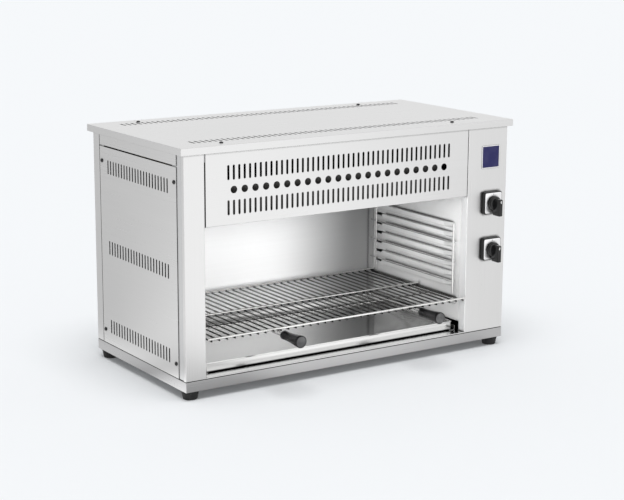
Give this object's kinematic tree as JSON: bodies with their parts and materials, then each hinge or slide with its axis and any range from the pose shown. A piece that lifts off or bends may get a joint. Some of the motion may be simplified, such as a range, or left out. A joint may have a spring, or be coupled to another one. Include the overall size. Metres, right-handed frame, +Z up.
{
  "type": "cheese melter",
  "caption": "Countertop cheese melter with slotted stainless casing, open front, sliding wire shelf with black grips, drip tray and rotary switches.",
  "frame": {"origin": "on the floor, under the middle of the casing's footprint, level with the bottoms of the feet", "axes": "+X to the right seen from the front, along the width; +Y to the back; +Z up"},
  "size_m": [0.798, 0.501, 0.4946],
  "materials": {
    "satin_steel": "satin brushed stainless sheet",
    "mirror_steel": "bright polished stainless sheet",
    "frame_steel": "plain rolled sheet",
    "bright_wire": "chromed wire",
    "screw_steel": "dull steel",
    "black_rubber": "matt moulded rubber",
    "black_plastic": "moulded, slightly glossy",
    "grey_plastic": "moulded, matt",
    "silver_plate": "fine satin",
    "badge_metal": "plain anodised, bare",
    "heater_sheath": "heat-tinted sheath",
    "white_ceramic": "unglazed ceramic",
    "mineral_wool": "pressed fibre"
  },
  "bodies": {
    "cabinet": {"back_liner": "mirror_steel", "back_panel": "satin_steel", "badge_plate": "badge_metal", "base_pan": "satin_steel", "cable_gland": "black_plastic", "casing_screws": "screw_steel", "ceiling_insulation": "mineral_wool", "ceiling_reflector": "mirror_steel", "chamber_floor": "mirror_steel", "control_column": "satin_steel", "foot_front_left": "black_rubber", "foot_front_right": "black_rubber", "foot_rear_left": "black_rubber", "foot_rear_right": "black_rubber", "foot_screws": "screw_steel", "front_top_rail": "frame_steel", "front_vent_panel": "satin_steel", "gland_nut": "black_plastic", "heater_1": "heater_sheath", "heater_2": "heater_sheath", "heater_3": "heater_sheath", "heater_4": "heater_sheath", "heater_bushes": "white_ceramic", "heater_hangers": "mirror_steel", "left_liner": "mirror_steel", "left_pillar": "satin_steel", "left_shelf_runner": "mirror_steel", "left_side_panel": "satin_steel", "left_top_strip": "satin_steel", "left_tray_runner": "mirror_steel", "left_wire_guide": "bright_wire", "lower_dial_plate": "silver_plate", "lower_switch_bezel": "black_plastic", "lower_switch_body": "grey_plastic", "post_front_left": "frame_steel", "post_front_right": "frame_steel", "post_rear_left": "frame_steel", "post_rear_right": "frame_steel", "rear_top_rail": "frame_steel", "right_liner": "mirror_steel", "right_shelf_runner": "mirror_steel", "right_side_panel": "satin_steel", "right_top_strip": "satin_steel", "right_tray_runner": "mirror_steel", "right_wire_guide": "bright_wire", "terminal_block": "grey_plastic", "terminal_bracket": "frame_steel", "top_cover": "satin_steel", "upper_dial_plate": "silver_plate", "upper_switch_bezel": "black_plastic", "upper_switch_body": "grey_plastic"},
    "shelf": {"wire_shelf": "bright_wire", "handle_stems": "bright_wire", "left_handle_grip": "black_plastic", "right_handle_grip": "black_plastic"},
    "tray": {"drip_tray": "mirror_steel"},
    "upper_knob": {"upper_switch_knob": "black_plastic", "upper_switch_shaft": "bright_wire"},
    "lower_knob": {"lower_switch_knob": "black_plastic", "lower_switch_shaft": "bright_wire"}
  },
  "joints": [
    {"name": "shelf_slide", "type": "slide", "parent": "cabinet", "child": "shelf", "axis": [0, -1, 0], "range_m": [0, 0.28]},
    {"name": "tray_slide", "type": "slide", "parent": "cabinet", "child": "tray", "axis": [0, -1, 0], "range_m": [0, 0.28]},
    {"name": "upper_knob_turn", "type": "hinge", "parent": "cabinet", "child": "upper_knob", "pos_m": [0.35, -0.201, 0.3175], "axis": [0, 1, 0], "range_deg": [0, 270]},
    {"name": "lower_knob_turn", "type": "hinge", "parent": "cabinet", "child": "lower_knob", "pos_m": [0.35, -0.201, 0.218], "axis": [0, 1, 0], "range_deg": [0, 270]}
  ]
}
